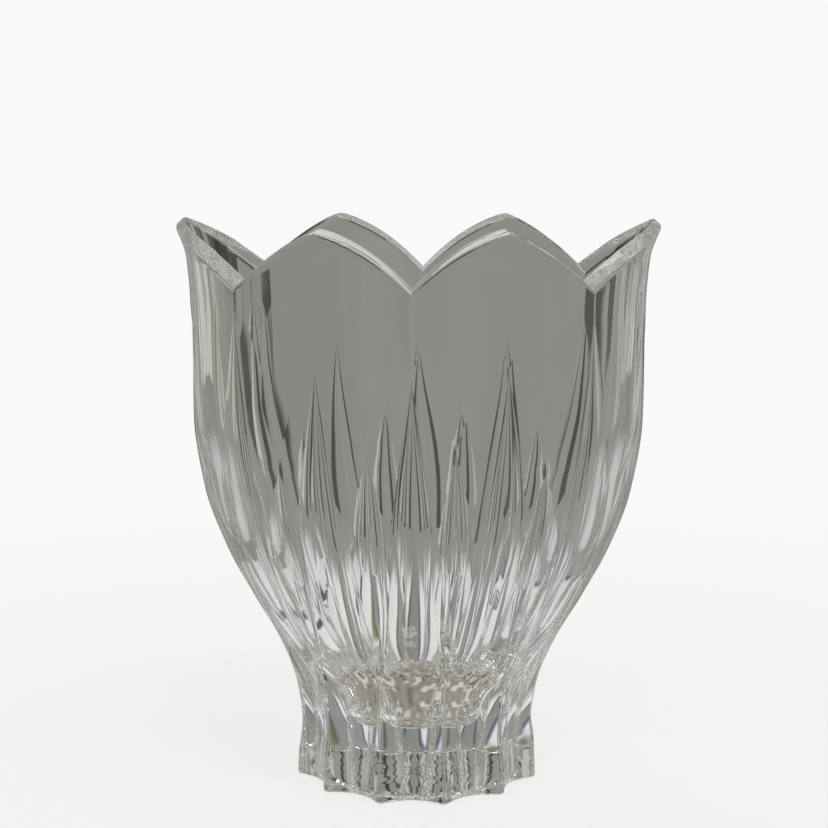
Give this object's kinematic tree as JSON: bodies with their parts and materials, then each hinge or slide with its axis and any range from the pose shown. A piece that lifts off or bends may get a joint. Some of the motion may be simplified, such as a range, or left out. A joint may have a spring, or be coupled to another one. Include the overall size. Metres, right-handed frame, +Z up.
{
  "type": "cut crystal vase",
  "caption": "Oval tulip vase in clear cut crystal with six pointed petals, flame-shaped flutes and a round ridged foot.",
  "frame": {"origin": "centre of the underside of the foot", "axes": "+Z up, X along the wide axis of the oval bowl, the front broad face looks along -Y"},
  "size_m": [0.1708, 0.096, 0.2],
  "materials": {
    "crystal": "polished clear crystal"
  },
  "bodies": {
    "root": {"foot": "crystal", "petal_front_left": "crystal", "petal_front_right": "crystal", "petal_right": "crystal", "petal_back_right": "crystal", "petal_back_left": "crystal", "petal_left": "crystal"}
  },
  "joints": []
}
